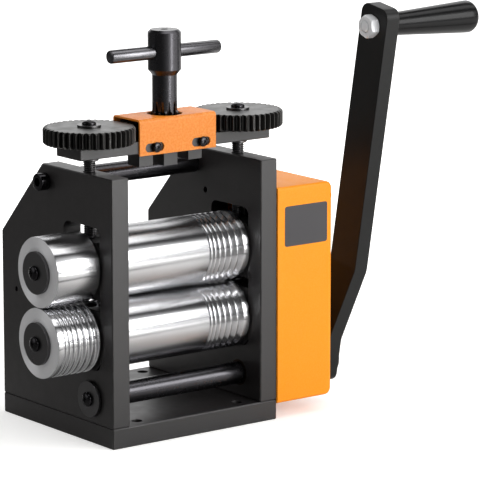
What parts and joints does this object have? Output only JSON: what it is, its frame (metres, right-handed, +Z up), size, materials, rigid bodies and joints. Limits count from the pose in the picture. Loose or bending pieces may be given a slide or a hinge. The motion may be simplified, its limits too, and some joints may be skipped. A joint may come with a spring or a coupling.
{
  "type": "jewellers rolling mill",
  "caption": "Bench rolling mill for jewellers: flat and grooved steel rolls in a black frame, geared screw-down with T handle, orange covers and a side crank.",
  "frame": {"origin": "middle of the base plate on the bench", "axes": "+X along the rolls towards the gear cover and crank, +Y to the back, +Z up"},
  "size_m": [0.239, 0.1179, 0.2027],
  "materials": {
    "satin_black_paint": "satin black paint on machined steel plate",
    "orange_powder_coat": "orange powder coat on bent sheet steel",
    "polished_roll_steel": "ground and polished hardened steel",
    "blackened_steel": "black oxide on cut steel",
    "bearing_iron": "machined grey iron",
    "zinc_plate": "bright zinc plating",
    "spring_steel": "drawn spring wire",
    "bush_bronze": "turned bronze",
    "black_grip_plastic": "glossy moulded plastic",
    "black_crank_paint": "satin black paint on bent flat bar"
  },
  "bodies": {
    "frame": {"base_plate": "satin_black_paint", "left_plate": "satin_black_paint", "right_plate": "satin_black_paint", "plate_screws": "blackened_steel", "upper_tie_rod": "blackened_steel", "tie_rod_screws": "blackened_steel", "lower_bearing_left": "bearing_iron", "lower_bearing_right": "bearing_iron", "shaft_bushes": "bush_bronze", "gear_cover": "orange_powder_coat", "cover_standoffs": "zinc_plate", "gear_cover_screws": "blackened_steel", "return_springs": "spring_steel"},
    "upper_bearings": {"upper_bearing_left": "bearing_iron", "upper_bearing_right": "bearing_iron"},
    "upper_roll_set": {"upper_roll": "polished_roll_steel", "upper_side_roller": "polished_roll_steel", "upper_side_washer": "blackened_steel", "upper_side_screw": "blackened_steel", "upper_roll_gear": "blackened_steel", "upper_roll_key": "blackened_steel", "upper_gear_screw": "blackened_steel"},
    "lower_roll_set": {"lower_roll": "polished_roll_steel", "lower_side_roller": "polished_roll_steel", "lower_side_washer": "blackened_steel", "lower_side_screw": "blackened_steel", "lower_roll_gear": "blackened_steel", "lower_roll_key": "blackened_steel", "driven_gear": "blackened_steel", "lower_gear_screw": "blackened_steel"},
    "yoke": {"bridge_bar": "blackened_steel", "gear_studs": "blackened_steel", "top_cover": "orange_powder_coat", "top_cover_screws": "blackened_steel"},
    "left_screw": {"left_adjusting_screw": "blackened_steel", "left_adjusting_gear": "blackened_steel", "left_gear_washer": "blackened_steel", "left_gear_screw": "blackened_steel"},
    "right_screw": {"right_adjusting_screw": "blackened_steel", "right_adjusting_gear": "blackened_steel", "right_gear_washer": "blackened_steel", "right_gear_screw": "blackened_steel"},
    "left_idler": {"left_idler_gear": "blackened_steel"},
    "right_idler": {"right_idler_gear": "blackened_steel"},
    "handle": {"handle_spindle": "blackened_steel", "handle_bar": "blackened_steel"},
    "crank": {"drive_shaft": "blackened_steel", "drive_pinion": "blackened_steel", "shaft_washers": "blackened_steel", "shaft_screws": "blackened_steel", "crank_arm": "black_crank_paint", "grip_bolt": "zinc_plate", "grip_nut": "zinc_plate"},
    "grip": {"crank_grip": "black_grip_plastic"}
  },
  "joints": [
    {"name": "crank_turn", "type": "hinge", "parent": "frame", "child": "crank", "pos_m": [0, -0.029, 0.02173], "axis": [1, 0, 0], "continuous": true},
    {"name": "lower_roll_turn", "type": "hinge", "parent": "frame", "child": "lower_roll_set", "pos_m": [0, -0.022, 0.0509], "axis": [1, 0, 0], "continuous": true},
    {"name": "upper_lift", "type": "slide", "parent": "frame", "child": "upper_bearings", "axis": [0, 0, 1], "range_m": [0, 0.006], "deforming": ["return_springs"]},
    {"name": "upper_roll_turn", "type": "hinge", "parent": "upper_bearings", "child": "upper_roll_set", "pos_m": [0, -0.022, 0.085], "axis": [1, 0, 0], "continuous": true},
    {"name": "yoke_lift", "type": "slide", "parent": "frame", "child": "yoke", "axis": [0, 0, 1], "range_m": [0, 0.006]},
    {"name": "left_screw_turn", "type": "hinge", "parent": "yoke", "child": "left_screw", "pos_m": [-0.044, -0.022, 0.14], "axis": [0, 0, 1], "range_deg": [0, 2160]},
    {"name": "right_screw_turn", "type": "hinge", "parent": "yoke", "child": "right_screw", "pos_m": [0.044, -0.022, 0.14], "axis": [0, 0, 1], "range_deg": [0, 2160]},
    {"name": "left_idler_turn", "type": "hinge", "parent": "yoke", "child": "left_idler", "pos_m": [-0.0145, -0.022, 0.147], "axis": [0, 0, 1], "range_deg": [-5337, 0]},
    {"name": "right_idler_turn", "type": "hinge", "parent": "yoke", "child": "right_idler", "pos_m": [0.0145, -0.022, 0.147], "axis": [0, 0, 1], "range_deg": [-5337, 0]},
    {"name": "handle_turn", "type": "hinge", "parent": "yoke", "child": "handle", "pos_m": [0, -0.022, 0.17], "axis": [0, 0, 1], "range_deg": [0, 7560]},
    {"name": "grip_spin", "type": "hinge", "parent": "crank", "child": "grip", "pos_m": [0.13, -0.06008, 0.19191], "axis": [1, 0, 0], "continuous": true}
  ],
  "couplings": [
    {"joint": "lower_roll_turn", "follows": "crank_turn", "ratio": -0.42857},
    {"joint": "upper_roll_turn", "follows": "crank_turn", "ratio": 0.42857},
    {"joint": "upper_lift", "follows": "yoke_lift", "ratio": 1},
    {"joint": "left_screw_turn", "follows": "yoke_lift", "rad_per_m": 6283.2},
    {"joint": "right_screw_turn", "follows": "yoke_lift", "rad_per_m": 6283.2},
    {"joint": "left_idler_turn", "follows": "yoke_lift", "rad_per_m": -15523},
    {"joint": "right_idler_turn", "follows": "yoke_lift", "rad_per_m": -15523},
    {"joint": "handle_turn", "follows": "yoke_lift", "rad_per_m": 21991}
  ]
}
